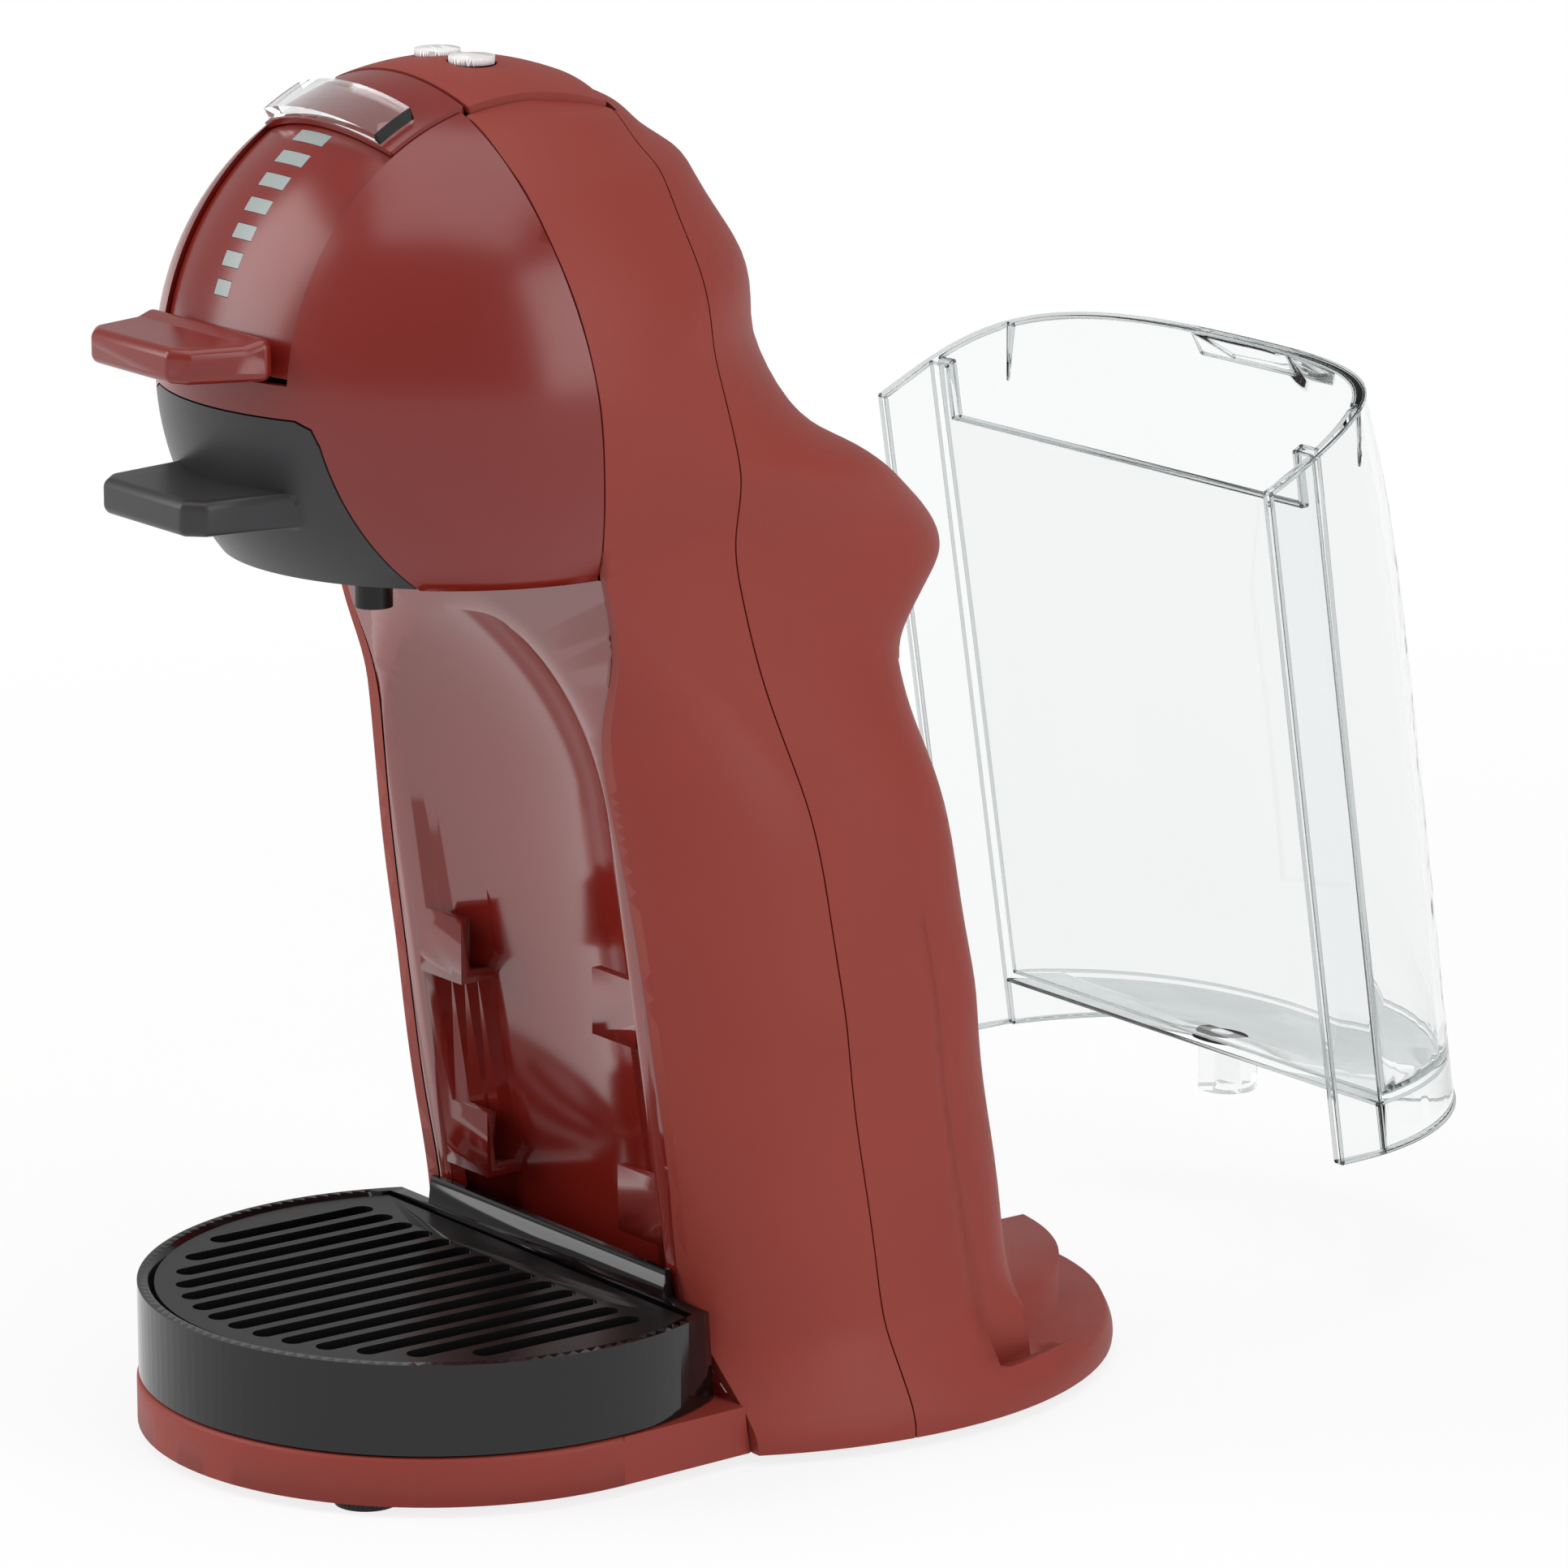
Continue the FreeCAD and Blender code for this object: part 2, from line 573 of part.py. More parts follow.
lever = band.fuse([beak, lever_arm(1), lever_arm(-1)])
panes = []
for index in range(7):
    lever = lever.cut(window_zone(index, 0.1))
    panes.append(arc_piece(S["band_radius"], S["band_thick"] - 1.0, WIDE, 10.0, 62.0).common(window_zone(index, 0.0)))
locking_lever = form("locking_lever", lever)
level_windows = form("level_windows", Part.Compound([p.Solids[0] for p in panes]))

upper_strip = form(
    "upper_strip", arc_piece(S["strip_radius"], S["strip_thick"], band_half, S["strip_low"], S["strip_high"])
)
cap = arc_piece(S["cap_radius"], S["cap_thick"], S["groove_half"] + 0.8, S["cap_low"], S["cap_high"])
for side in (-1, 1):
    hole_radius = S["button_radius"] + S["slide_gap"]
    cap = cap.cut(Part.makeCylinder(hole_radius, 30.0, Vector(side * S["button_x"], HEAD.y, S["head_z"] + 50.0)))
top_cap = form("top_cap", cap)

slider_inner = S["strip_radius"] + S["slide_gap"]
slider = arc_piece(slider_inner + S["slider_thick"], S["slider_thick"], S["slider_half"], S["slider_low"], S["slider_high"])
volume_slider = form("volume_slider", slider)

hot_button = rod("hot_button", "button_radius", "button_high - button_low", "button_x", "head_y", "button_low")
cold_button = rod("cold_button", "button_radius", "button_high - button_low", "-button_x", "head_y", "button_low")

# Pod holder with its cradle, handle and outlet.
drawer = ball(S["head_radius"]).common(
    drawer_zone(0.0).common(slab(WIDE, S["holder_low"], S["holder_high"]))
)
cradle = Part.makeCylinder(
    S["cradle_radius"], S["cradle_depth"], Vector(0, S["cradle_y"], S["holder_high"] - S["cradle_depth"])
)
throat = Part.makeCylinder(S["spout_radius"] - 1.0, 60.0, Vector(0, S["spout_y"], S["holder_low"] - 5.0))
handle_root = S["head_y"] - S["head_radius"] + 12.0
handle_face = Part.Face(
    Part.makePolygon(
        [
            Vector(-S["handle_half"] - 4.0, handle_root, S["handle_low"]),
            Vector(-S["handle_half"], -S["handle_front"] + 4.0, S["handle_low"]),
            Vector(-S["handle_half"] + 4.0, -S["handle_front"], S["handle_low"]),
            Vector(S["handle_half"] - 4.0, -S["handle_front"], S["handle_low"]),
            Vector(S["handle_half"], -S["handle_front"] + 4.0, S["handle_low"]),
            Vector(S["handle_half"] + 4.0, handle_root, S["handle_low"]),
            Vector(-S["handle_half"] - 4.0, handle_root, S["handle_low"]),
        ]
    )
)
grip = rounded(handle_face.extrude(Vector(0, 0, S["handle_high"] - S["handle_low"])))
drawer = drawer.fuse(grip).cut(cradle).cut(throat)
pod_holder = form("pod_holder", drawer)
spout_body = rod("spout_body", "spout_radius", "holder_low - spout_low", "0", "spout_y", "spout_low")
spout_hole = rod("spout_hole", "spout_bore", "holder_low - spout_low + 2", "0", "spout_y", "spout_low - 1")
coffee_outlet = cut("coffee_outlet", spout_body, spout_hole)

# Front panel with the arched recess and its hooks.
lean_vector = Vector(0, -S["flange_slope"], 1.0)
recess_axis = S["recess_radius"] - S["recess_depth"]


def recess_form(radius):
    base = Vector(0, flange(0.0) - recess_axis * 1.01, 0)
    run = lean_vector * S["recess_centre_z"]
    column = Part.makeCylinder(radius, run.Length, base, run)
    return column.fuse(Part.makeSphere(radius, base + run))


panel_zone = prism(
    [
        (flange(S["panel_low"]), S["panel_low"]),
        (flange(S["panel_low"], 60.0), S["panel_low"]),
        (flange(S["panel_high"], 60.0), S["panel_high"]),
        (flange(S["panel_high"]), S["panel_high"]),
    ],
    WIDE,
)
plate_zone = prism(
    [
        (flange(S["panel_low"]), S["panel_low"]),
        (flange(S["panel_low"], S["panel_thick"]), S["panel_low"]),
        (flange(S["panel_high"], S["panel_thick"]), S["panel_high"]),
        (flange(S["panel_high"]), S["panel_high"]),
    ],
    WIDE,
)
tub = recess_form(S["recess_radius"] + S["panel_thick"]).common(panel_zone)
panel = plate_zone.fuse(tub).cut(recess_form(S["recess_radius"])).common(room)


def hook(side, z):
    """A tab that stands out of the recess wall and folds up in front of it."""
    x = side * S["hook_half_gap"] - S["hook_wide"] / 2
    lip_y = flange(z) + 1.0
    lip = Part.makeBox(S["hook_wide"], S["hook_thick"], S["hook_tall"], Vector(x, lip_y, z - S["hook_tall"] / 2))
    arm = Part.makeBox(S["hook_wide"], 30.0, S["hook_thick"], Vector(x, lip_y, z - S["hook_tall"] / 2))
    return lip.fuse(arm).removeSplitter()


solid_tub = recess_form(S["recess_radius"] + S["panel_thick"] / 2).common(room)
hooks = [hook(side, z).common(solid_tub) for side in (-1, 1) for z in (S["hook_high_z"], S["hook_low_z"])]
panel = panel.fuse(hooks)
front_panel = form("front_panel", max(panel.Solids, key=lambda s: s.Volume))

# Base disc, floor plate and feet.
disc = Part.makeCylinder(S["base_radius"], S["base_top"] - S["foot_height"], Vector(0, 0, S["foot_height"]))
disc = disc.makeFillet(1.2, [e for e in disc.Edges if abs(e.BoundBox.ZMax - S["base_top"]) < 0.01 and e.Closed])
cheek_y = flange(0.0) + 2.0
cheek_far = math.hypot(S["cheek_half"], cheek_y)
cheek_turn = math.atan2(cheek_y, S["cheek_half"]) - math.acos(S["base_radius"] / cheek_far)
touch_x = S["base_radius"] * math.cos(cheek_turn)
touch_y = S["base_radius"] * math.sin(cheek_turn)
cheek_plan = [
    Vector(-touch_x, touch_y, S["foot_height"]),
    Vector(touch_x, touch_y, S["foot_height"]),
    Vector(S["cheek_half"], cheek_y, S["foot_height"]),
    Vector(-S["cheek_half"], cheek_y, S["foot_height"]),
]
cheek_face = Part.Face(Part.makePolygon(cheek_plan + cheek_plan[:1]))
cheek = cheek_face.extrude(Vector(0, 0, S["base_top"] - S["foot_height"]))
disc = disc.fuse(cheek).common(front_zone)
floor_slab = slab(WIDE, S["foot_height"], S["foot_height"] + S["plate_thick"])
floor_plate = room.common(floor_slab).cut(prism([(-90, -9), (flange(0, -3), -9), (flange(0, -3), 9), (-90, 9)], WIDE))
base_plate = form("base_plate", disc.fuse(floor_plate))
feet_list = []
for tag, x, y in (
    ("a", "foot_front_x", "foot_front_y"),
    ("b", "-foot_front_x", "foot_front_y"),
    ("c", "foot_rear_x", "foot_rear_y"),
    ("d", "-foot_rear_x", "foot_rear_y"),
):
    feet_list.append(rod("foot_" + tag, "foot_radius", "foot_height", x, y, "0"))
feet = group("feet", feet_list)

# Drip tray and its grille.
tray_line = [(flange(z, -half_gap - 0.8), z) for z in (0.0, 60.0)]
tray_zone = prism([tray_line[0], tray_line[1], (-120.0, 60.0), (-120.0, 0.0)], WIDE)


def tray_cup(radius, low, high, back):
    cup = Part.makeCylinder(radius, high - low, Vector(0, 0, low))
    edge = flange(low, back)
    return cup.common(prism([(edge, 0.0), (flange(60.0, back), 60.0), (-120.0, 60.0), (-120.0, 0.0)], WIDE))


tray_outer = tray_cup(S["tray_radius"], S["tray_low"], S["tray_high"], -1.0)
tray_void = tray_cup(
    S["tray_radius"] - S["tray_wall"], S["tray_low"] + S["tray_wall"], 50.0, -1.0 - S["tray_wall"] - 1.2
)
ledge_cut = tray_cup(S["grille_radius"] - 2.0, S["tray_low"] + S["tray_wall"], 50.0, -7.0)
grille_top = S["tray_high"] - S["grille_sink"]
grille_low = grille_top - S["grille_thick"]
tray_seat = tray_cup(S["tray_radius"] - 0.5, S["tray_low"], grille_low, -1.2)
lip_side = prism(
    [
        (flange(S["tray_low"] + 3.0, -1.0 - S["tray_wall"] - 0.8), S["tray_low"] + 3.0),
        (flange(S["tray_low"] + 3.0, -1.0), S["tray_low"] + 3.0),
        (flange(S["lip_top"], -1.0), S["lip_top"]),
        (flange(S["lip_top"], -2.4), S["lip_top"]),
        (flange(S["tray_high"], -1.0 - S["tray_wall"] - 0.8), S["tray_high"] - 0.5),
    ],
    S["lip_half"],
)
drip_tray = form("drip_tray", tray_outer.cut(tray_void).fuse(tray_seat.cut(ledge_cut)).fuse(lip_side))
grille = tray_cup(S["grille_radius"], grille_low, grille_top, -1.0 - S["tray_wall"] - 1.6)
slot_count = int(2 * (S["grille_radius"] - 6.0) / S["slot_pitch"])
for k in range(slot_count):
    x = (k - (slot_count - 1) / 2.0) * S["slot_pitch"]
    reach = math.sqrt(max((S["grille_radius"] - 5.0) ** 2 - x * x, 0.0))
    rear_end = min(S["slot_rear_y"], reach)
    runs = [(-reach, rear_end)]
    if reach > S["slot_rear_y"] + 14.0:
        runs.append((S["slot_rear_y"] + 4.0, S["slot_rear_y"] + 9.5))
    for start, end in runs:
        if end - start < S["slot_wide"] + 1.0:
            continue
        r = S["slot_wide"] / 2
        tool = Part.makeBox(S["slot_wide"], end - start - 2 * r, 20.0, Vector(x - r, start + r, grille_low - 5.0))
        for y in (start + r, end - r):
            tool = tool.fuse(Part.makeCylinder(r, 20.0, Vector(x, y, grille_low - 5.0)))
        grille = grille.cut(tool)
tray_grille = form("tray_grille", grille)

# Water tank, modelled docked and then drawn off to where it stands.
tank_high = 205.0
shoulder = S["tank_shoulder"]


def dee(z, inset, front, bend):
    """A level outline of the tank: round behind and straight across at the front."""
    axis = S["tank_axis_y"] - S["rear_slope"] * z
    half = S["tank_radius"] - inset
    reach = S["tank_radius"] - shoulder * bend - inset
    power = 2.0 + 1.2 * bend
    start = math.asin(math.copysign((abs(front) / reach) ** (power / 2), front))
    points = []
    for k in range(25):
        turn = start + (math.pi - 2 * start) * k / 24
        c = math.cos(turn)
        s = math.sin(turn)
        x = math.copysign(abs(c) ** (2.0 / power), c) * half
        y = math.copysign(abs(s) ** (2.0 / power), s) * reach
        points.append(Vector(x, axis + y, z))
    curve = Part.BSplineCurve()
    curve.interpolate(points)
    return Part.Wire([curve.toShape(), Part.makeLine(points[-1], points[0])])


def tank_form(low, inset, front):
    """The tank's outline carried up evenly, drawn in more and more above its shoulder."""
    wires = []
    for k in range(13):
        z = low + (tank_high - low) * k / 12
        bend = max(0.0, (z - S["shoulder_low"]) / (tank_high - S["shoulder_low"])) ** 2.2
        wires.append(dee(z, inset, front, bend))
    return Part.makeLoft(wires, True, False)


block = tank_form(S["tank_skirt"], 0.0, -2.0)
inside = S["tank_radius"] - S["tank_wall"]
cavity_low = S["tank_floor"] + S["tank_wall"]
cavity = tank_form(cavity_low, S["tank_wall"], S["tank_front"] + S["tank_wall"])
under = lean(disc_outline(0.0, inside, -2.0 - 30.0), S["tank_floor"])
ahead_face = Part.Face(
    Part.makePolygon(
        [
            Vector(-inside, S["tank_axis_y"] - 40.0, 0),
            Vector(inside, S["tank_axis_y"] - 40.0, 0),
            Vector(inside, S["tank_axis_y"] + S["tank_front"], 0),
            Vector(-inside, S["tank_axis_y"] + S["tank_front"], 0),
            Vector(-inside, S["tank_axis_y"] - 40.0, 0),
        ]
    )
)
ahead = lean(ahead_face, tank_high + 20.0)
vessel = block.cut(cavity).cut(under).cut(ahead)
rim_y = S["tank_axis_y"] - S["rear_slope"] * S["tank_rim_front"]
knots = [
    (rim_y - 60.0, S["tank_rim_front"] - 6.0),
    (rim_y - 2.0, S["tank_rim_front"]),
    (rim_y + 34.0, S["tank_rim_rear"] - 4.0),
    (rim_y + 66.0, S["tank_rim_rear"]),
    (rim_y + 140.0, S["tank_rim_rear"] + 2.0),
]
rim_curve = Part.BSplineCurve()
rim_curve.interpolate([Vector(-WIDE, y, z) for y, z in knots])
rim_edges = [rim_curve.toShape()]
rim_corners = [
    Vector(-WIDE, knots[-1][0], knots[-1][1]),
    Vector(-WIDE, knots[-1][0], 300.0),
    Vector(-WIDE, knots[0][0], 300.0),
    Vector(-WIDE, knots[0][0], knots[0][1]),
]
for a, b in zip(rim_corners, rim_corners[1:]):
    rim_edges.append(Part.makeLine(a, b))
over = Part.Face(Part.Wire(rim_edges)).extrude(Vector(2 * WIDE, 0, 0))
vessel = vessel.cut(over)
front_over = Part.makeBox(
    2 * (inside - 6.0), 60.0, 100.0, Vector(-inside + 6.0, rim_y - 30.0, S["tank_front_top"])
)
vessel = vessel.cut(front_over)
grip_y = S["tank_axis_y"] - S["rear_slope"] * S["tank_rim_rear"] + S["tank_radius"] - 0.72 * shoulder
lip = prism(
    [
        (grip_y - 1.6, S["tank_rim_rear"] - 1.5),
        (grip_y + S["grip_reach"], S["tank_rim_rear"] - 8.0),
        (grip_y + S["grip_reach"] - 1.0, S["tank_rim_rear"] - 10.6),
        (grip_y - 1.6, S["tank_rim_rear"] - 6.0),
    ],
    S["grip_half"],
)
vessel = vessel.fuse(lip.cut(cavity))
tank_vessel = form("tank_vessel", vessel)
valve_body = rod("valve_body", "valve_radius", "tank_floor - valve_low", "0", "valve_y", "valve_low")
valve_hole = rod("valve_hole", "valve_bore", "tank_floor - valve_low + 2", "0", "valve_y", "valve_low - 1")
tank_valve = cut("tank_valve", valve_body, valve_hole)

# Socket under the tank nozzle.
seat_low = S["foot_height"] + S["plate_thick"]
seat_hole = rod("seat_hole", "hose_radius", "20", "0", "valve_y", "0")
seat_round = rod(
    "seat_round", "seat_radius", "valve_low - slide_gap - seal_tall - foot_height - plate_thick", "0", "valve_y",
    "foot_height + plate_thick",
)
valve_seat = cut("valve_seat", seat_round, seat_hole)
seal_hole = rod("seal_hole", "hose_radius", "20", "0", "valve_y", "0")
seal_round = rod("seal_round", "seat_radius", "seal_tall", "0", "valve_y", "valve_low - slide_gap - seal_tall")
seat_seal = cut("seat_seal", seal_round, seal_hole)
pocket = Part.makeCylinder(S["seat_radius"] + 0.1, 30.0, Vector(0, S["valve_y"], seat_low))
rear_shell.Shape = rear_shell.Shape.cut(pocket)

# Water path: flow meter, pump on rubber rings, thermoblock and hoses.
flow_meter = rod("flow_meter", "meter_radius", "meter_tall", "meter_x", "meter_y", "meter_z")
pump_body = rod("pump_body", "pump_radius", "pump_tall", "pump_x", "pump_y", "pump_z")
rings = []
for tag, z in (("low", "pump_z + 6"), ("high", "pump_z + pump_tall - mount_tall - 6")):
    round_ring = rod("ring_" + tag, "pump_radius + mount_wall", "mount_tall", "pump_x", "pump_y", z)
    ring_hole = rod("ring_hole_" + tag, "pump_radius", "mount_tall + 2", "pump_x", "pump_y", z + " - 1")
    rings.append(cut("pump_ring_" + tag, round_ring, ring_hole))
pump_mounts = group("pump_mounts", rings)
thermoblock = box("thermoblock", "heater_wide", "heater_deep", "heater_tall", "heater_x", "heater_y", "heater_z")
fuse_list = []
for tag, x in (("a", "heater_x + 10"), ("b", "heater_x + 26")):
    fuse_list.append(rod("fuse_" + tag, "fuse_radius", "fuse_tall", x, "heater_y + heater_deep/2", "heater_z + heater_tall"))
thermal_fuses = group("thermal_fuses", fuse_list)


def hose(name, points, leave, arrive):
    path = Part.BSplineCurve()
    path.interpolate(Points=[Vector(*p) for p in points], InitialTangent=leave, FinalTangent=arrive)
    wire = Part.Wire(path.toShape())
    start = path.tangent(path.FirstParameter)[0]
    ring = Part.Wire(Part.makeCircle(S["hose_radius"], Vector(*points[0]), start))
    pipe = wire.makePipeShell([ring], True, True)
    return form(name, pipe)


UP = Vector(0, 0, 1)
DOWN = Vector(0, 0, -1)
meter_top = S["meter_z"] + S["meter_tall"]
pump_top = S["pump_z"] + S["pump_tall"]
heater_top = S["heater_z"] + S["heater_tall"]
heater_mid = S["heater_y"] + S["heater_deep"] / 2
inlet_hose = hose(
    "inlet_hose",
    [
        (S["meter_x"], S["meter_y"], S["meter_z"]),
        (S["meter_x"] - 2, S["meter_y"] + 4, S["meter_z"] - 10),
        (S["meter_x"] - 8, S["meter_y"] + 16, S["meter_z"] - 15),
        (S["meter_x"] - 12, S["meter_y"] + 26, S["meter_z"] - 16),
    ],
    DOWN,
    Vector(0, 1, 0),
)
pump_hose = hose(
    "pump_hose",
    [
        (S["meter_x"] - 4, S["meter_y"], meter_top),
        (S["meter_x"] - 10, S["meter_y"], meter_top + 8),
        ((S["meter_x"] + S["pump_x"]) / 2 + 2, (S["meter_y"] + S["pump_y"]) / 2, S["pump_z"] - 6),
        (S["pump_x"] + 12, S["pump_y"], S["pump_z"] - 9),
        (S["pump_x"] + 6, S["pump_y"], S["pump_z"]),
    ],
    UP,
    UP,
)
hose_end = S["frame_low"] - S["hose_radius"] - 6.0
brew_hose = hose(
    "brew_hose",
    [
        (S["heater_x"] + 18, heater_mid, heater_top),
        (S["heater_x"] + 17, heater_mid - 2, heater_top + 20),
        (S["heater_x"] + 10, heater_mid - 16, hose_end - 12),
        (S["heater_x"] + 4, heater_mid - 44, hose_end),
    ],
    UP,
    Vector(0, -1, 0),
)

# Boards, inner frame and injector.
power_board = box("power_board", "board_thick", "power_deep", "power_tall", "power_x", "power_y", "power_z")
caps = []
for tag, y, z in (("a", "power_y + 10", "power_z + 14"), ("b", "power_y + 24", "power_z + 30"), ("c", "power_y + 12", "power_z + 44")):
    caps.append(rod("cap_" + tag, "capacitor_radius", "capacitor_tall", "power_x + board_thick", y, z, "x"))
board_capacitors = group("board_capacitors", caps)
control_board = box(
    "control_board", "control_wide", "board_thick", "control_tall", "-control_wide/2",
    "frame_back + frame_thick + 2", "control_z",
)
top_plate = box(
    "top_plate", "2*frame_half", "frame_back - frame_front + frame_thick", "frame_thick", "-frame_half",
    "frame_front", "frame_z",
)
back_plate = box(
    "back_plate", "2*frame_half", "frame_thick", "frame_z + frame_thick - frame_low", "-frame_half", "frame_back",
    "frame_low",
)
lug_a = box("lug_a", "frame_thick", "2*hub_radius", "frame_z - head_z + hub_radius", "frame_half - frame_thick", "head_y - hub_radius", "head_z - hub_radius")
lug_b = box("lug_b", "frame_thick", "2*hub_radius", "frame_z - head_z + hub_radius", "-frame_half", "head_y - hub_radius", "head_z - hub_radius")
frame_solid = fuse("frame_solid", [top_plate, back_plate, lug_a, lug_b])
guide_hole = rod("guide_hole", "stem_radius + slide_gap + guide_wall", "40", "0", "cradle_y", "frame_z - 10")
head_frame = cut("head_frame", frame_solid, guide_hole)
guide_round = rod("guide_round", "stem_radius + slide_gap + guide_wall", "guide_tall", "0", "cradle_y", "frame_z")
guide_bore = rod("guide_bore", "stem_radius + slide_gap", "guide_tall + 2", "0", "cradle_y", "frame_z - 1")
injector_guide = cut("injector_guide", guide_round, guide_bore)
plunger = rod("plunger", "injector_radius", "injector_tall", "0", "cradle_y", "injector_low")
stem = rod("stem", "stem_radius", "stem_high - injector_low", "0", "cradle_y", "injector_low")
injector_head = fuse("injector_head", [plunger, stem])
injector_needle = rod("injector_needle", "needle_radius", "injector_low - needle_low", "0", "cradle_y", "needle_low")
pins = []
bushings = []
for tag, x in (("a", "frame_half"), ("b", "-frame_half - 2*slide_gap - arm_thick - 2")):
    pin = rod("pin_" + tag, "pin_radius", "arm_thick + 2*slide_gap + 2", x, "head_y", "head_z", "x")
    pins.append(pin)
lever_pins = group("lever_pins", pins)
for tag, x in (("a", "arm_inner"), ("b", "-arm_inner - arm_thick")):
    sleeve = rod("sleeve_" + tag, "pin_radius + bush_wall", "arm_thick", x, "head_y", "head_z", "x")
    bore = rod("sleeve_bore_" + tag, "pin_radius + run_gap", "arm_thick + 2", x + " - 1", "head_y", "head_z", "x")
    bushings.append(cut("bush_" + tag, sleeve, bore))
lever_bushings = group("lever_bushings", bushings)

# Cord gland in the rear wall and the screws.
gland_top = S["gland_z"] + S["gland_radius"]
gland_end = S["tank_axis_y"] - S["rear_slope"] * gland_top + bay_front
gland_y = gland_end - S["gland_long"]
gland_disc = Part.makeCylinder(S["gland_radius"], S["gland_long"], Vector(S["gland_x"], gland_y, S["gland_z"]), Vector(0, 1, 0))
gland_bore = Part.makeCylinder(S["gland_radius"] - 2.5, 40.0, Vector(S["gland_x"], gland_y - 5.0, S["gland_z"]), Vector(0, 1, 0))
cord_gland = form("cord_gland", gland_disc.cut(gland_bore))
screws = []
for k, (x, y) in enumerate(((46.0, 62.0), (-46.0, 62.0), (40.0, 92.0), (-40.0, 92.0))):
    tag = "abcd"[k]
    floor_top = "foot_height + plate_thick"
    shank = rod("shank_" + tag, "screw_radius", "screw_long", "%g" % x, "%g" % y, floor_top)
    head = rod("screw_top_" + tag, "screw_head", "screw_head_tall", "%g" % x, "%g" % y, floor_top + " + screw_long")
    screws.append(fuse("screw_" + tag, [shank, head]))
shell_screws = group("shell_screws", screws)

doc.recompute()

DOCKED = [
    front_shell, rear_shell, head_dome, upper_strip, top_cap, hot_button, cold_button, locking_lever, level_windows,
    volume_slider, pod_holder, coffee_outlet, front_panel, base_plate, feet, drip_tray, tray_grille, valve_seat,
    seat_seal, flow_meter, pump_body, pump_mounts, thermoblock, thermal_fuses, inlet_hose, pump_hose, brew_hose,
    power_board, board_capacitors, control_board, head_frame, injector_guide, injector_head, injector_needle,
    lever_pins, lever_bushings, cord_gland, shell_screws,
]
DRAWN = [tank_vessel, tank_valve]

# The frame's origin stands under the middle of everything.
whole = [obj.Shape.optimalBoundingBox(False) for obj in DOCKED]
back = [obj.Shape.optimalBoundingBox(False) for obj in DRAWN]
front_end = min(b.YMin for b in whole)
rear_end = max([b.YMax for b in whole] + [b.YMax + S["tank_drawn_back"] for b in back])
shift = Vector(0, -(front_end + rear_end) / 2, 0)
drawn = shift + Vector(0, S["tank_drawn_back"], S["tank_lifted"])


def settle(obj, by):
    """Puts a finished sub-part in its place in the shared frame."""
    name = obj.Name
    if obj.TypeId in ("Part::Box", "Part::Cylinder"):
        holder = group(name + "_node", [obj])
        holder.Label = name
        obj.Label = name + "_solid"
        obj = holder
    obj.Placement = FreeCAD.Placement(by, FreeCAD.Rotation())
    return obj


nodes = [(obj.Name, settle(obj, shift)) for obj in DOCKED]
nodes += [(obj.Name, settle(obj, drawn)) for obj in DRAWN]
doc.recompute()

for obj in doc.Objects:
    if "Invalid" in obj.State or "Error" in obj.State:
        raise RuntimeError("bad object " + obj.Name)
os.makedirs("parts", exist_ok=True)
for name, obj in nodes:
    shape = obj.Shape
    if shape.isNull() or not shape.isValid() or not shape.Solids:
        raise RuntimeError("bad shape " + name)
    shape.exportStep("parts/%s.step" % name)
    b = shape.BoundBox
    print("%-18s solids %d vol %9.1f  x %.1f..%.1f y %.1f..%.1f z %.1f..%.1f" % (
        name, len(shape.Solids), shape.Volume, b.XMin, b.XMax, b.YMin, b.YMax, b.ZMin, b.ZMax))
print("shift", round(shift.y, 3))
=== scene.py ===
# %% [markdown]
# # A pod coffee machine
# The solids of the machine come packed from the CAD side, already in place and in metres. This lesson
# dresses them: it smooths copies of the solids, gives every piece its finish and sets up a plain white
# studio.

import json
import math

import bmesh
import bpy
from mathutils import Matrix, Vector


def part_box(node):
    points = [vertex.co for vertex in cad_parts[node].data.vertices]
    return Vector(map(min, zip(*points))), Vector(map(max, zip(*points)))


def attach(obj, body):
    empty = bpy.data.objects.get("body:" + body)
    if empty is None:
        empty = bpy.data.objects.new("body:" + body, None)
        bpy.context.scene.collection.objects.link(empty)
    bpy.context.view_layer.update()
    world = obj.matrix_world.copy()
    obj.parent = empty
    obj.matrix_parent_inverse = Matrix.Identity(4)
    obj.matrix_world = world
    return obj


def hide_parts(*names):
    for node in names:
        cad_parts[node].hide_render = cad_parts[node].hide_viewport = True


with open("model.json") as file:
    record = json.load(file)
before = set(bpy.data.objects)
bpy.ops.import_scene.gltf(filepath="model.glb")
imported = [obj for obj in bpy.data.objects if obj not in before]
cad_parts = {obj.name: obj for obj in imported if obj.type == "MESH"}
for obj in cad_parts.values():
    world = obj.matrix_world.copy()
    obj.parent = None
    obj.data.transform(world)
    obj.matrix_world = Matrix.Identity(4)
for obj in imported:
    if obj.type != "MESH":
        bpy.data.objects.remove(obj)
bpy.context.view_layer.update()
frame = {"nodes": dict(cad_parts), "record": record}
nodes = frame["nodes"]
body_of_node = {n: b for b, names in frame["record"]["behaviour"]["bodies"].items() for n in names}
slot_of_node = {s["node"]: s["material_slot"] for s in frame["record"]["subparts"]}

# %% [markdown]
# ## Colours and node helpers
# Colours are written as the hex values a paint chart would give. Blender works in linear light, so one
# function turns them. Every shader node is added by one helper, which also makes its links.

# %% Colour and node helpers
MM = 0.001
MIX_COLOUR_A, MIX_COLOUR_B, MIX_COLOUR_OUT = 6, 7, 2


